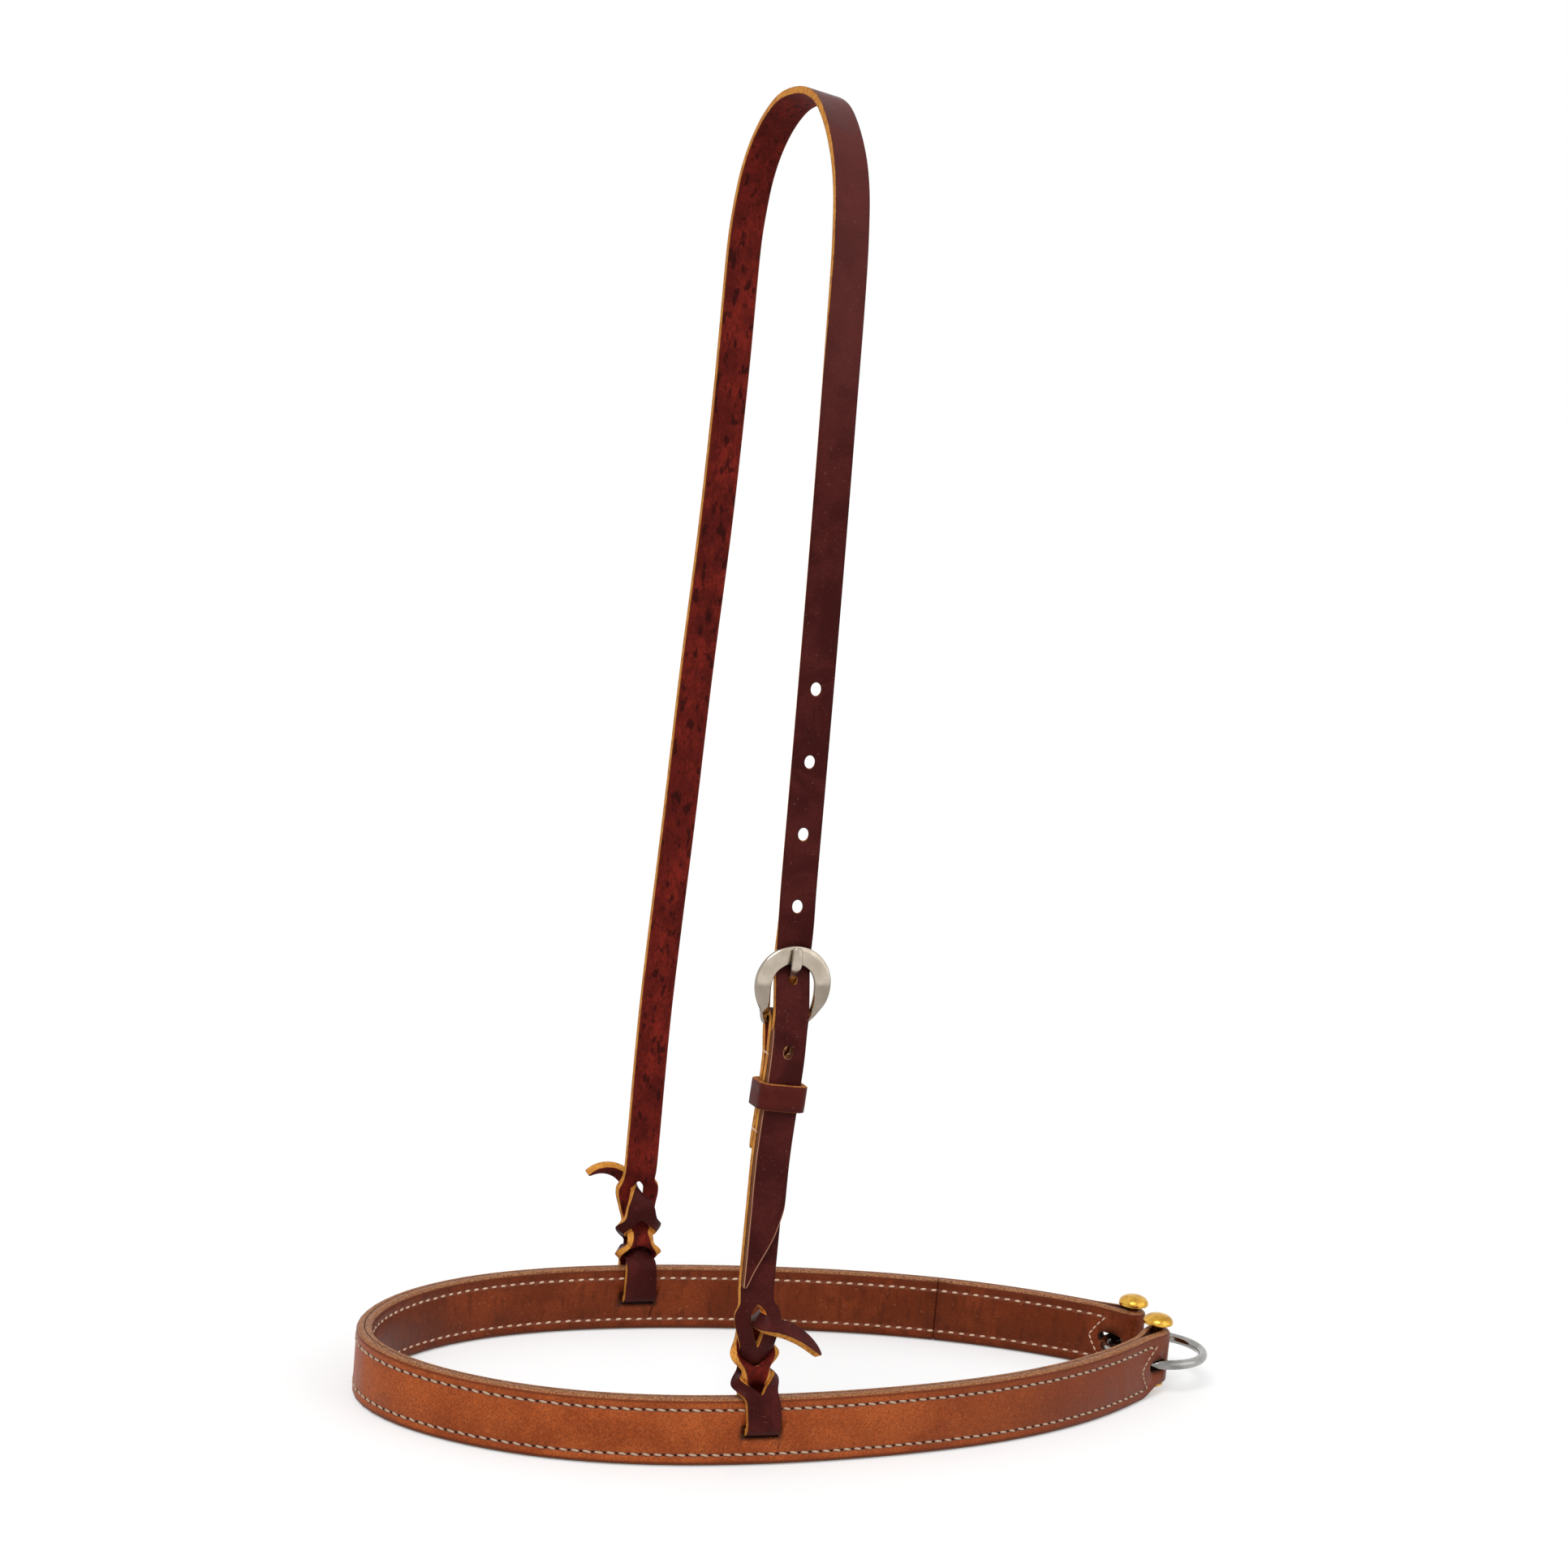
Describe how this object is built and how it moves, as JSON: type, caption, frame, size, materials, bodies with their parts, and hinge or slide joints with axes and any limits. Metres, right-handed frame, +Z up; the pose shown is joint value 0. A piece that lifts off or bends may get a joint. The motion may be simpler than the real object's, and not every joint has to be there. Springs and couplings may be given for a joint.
{
  "type": "leather noseband",
  "caption": "Double-ply leather tie-down noseband with a knotted hanger strap, a closed buckle and keeper, and a steel ring held by domed brass pins.",
  "frame": {"origin": "bottom middle of the whole part's box, on the noseband's lower edge", "axes": "+Z up along the hanger strap, +X from the nose towards the pins and ring, -Y the near side with the buckle"},
  "size_m": [0.3434, 0.1824, 0.4911],
  "materials": {
    "harness_leather": "oiled harness leather",
    "latigo_leather": "waxed burgundy latigo",
    "keeper_leather": "waxed burgundy latigo",
    "buckle_nickel": "polished nickel",
    "ring_steel": "polished steel",
    "pin_brass": "polished brass"
  },
  "bodies": {
    "noseband": {"noseband_outer_ply": "harness_leather", "noseband_lining": "harness_leather", "near_rivet": "pin_brass", "near_burr": "pin_brass", "far_rivet": "pin_brass", "far_burr": "pin_brass"},
    "ring": {"tie_down_ring": "ring_steel"},
    "hanger": {"hanger_strap": "latigo_leather", "buckle_chape": "latigo_leather"},
    "keeper": {"keeper": "keeper_leather"},
    "frame": {"buckle_frame": "buckle_nickel"},
    "tongue": {"buckle_tongue": "buckle_nickel"}
  },
  "joints": [
    {"name": "ring_turn", "type": "hinge", "parent": "noseband", "child": "ring", "pos_m": [0.15027, 0, 0.0127], "axis": [0, 0, 1], "continuous": true},
    {"name": "hanger_swing", "type": "hinge", "parent": "noseband", "child": "hanger", "pos_m": [-0.04102, 0, 0.0127], "axis": [0, 1, 0], "range_deg": [-4, 4]},
    {"name": "keeper_slide", "type": "slide", "parent": "hanger", "child": "keeper", "axis": [0.0825, 0.0414, 0.9957], "range_m": [-0.003, 0.003]},
    {"name": "frame_rock", "type": "hinge", "parent": "hanger", "child": "frame", "pos_m": [-0.04192, -0.0715, 0.163], "axis": [1, 0, 0], "range_deg": [-0.8, 1.2]},
    {"name": "tongue_lift", "type": "hinge", "parent": "frame", "child": "tongue", "pos_m": [-0.04192, -0.0715, 0.163], "axis": [1, 0, 0], "range_deg": [0, 1.2]}
  ]
}
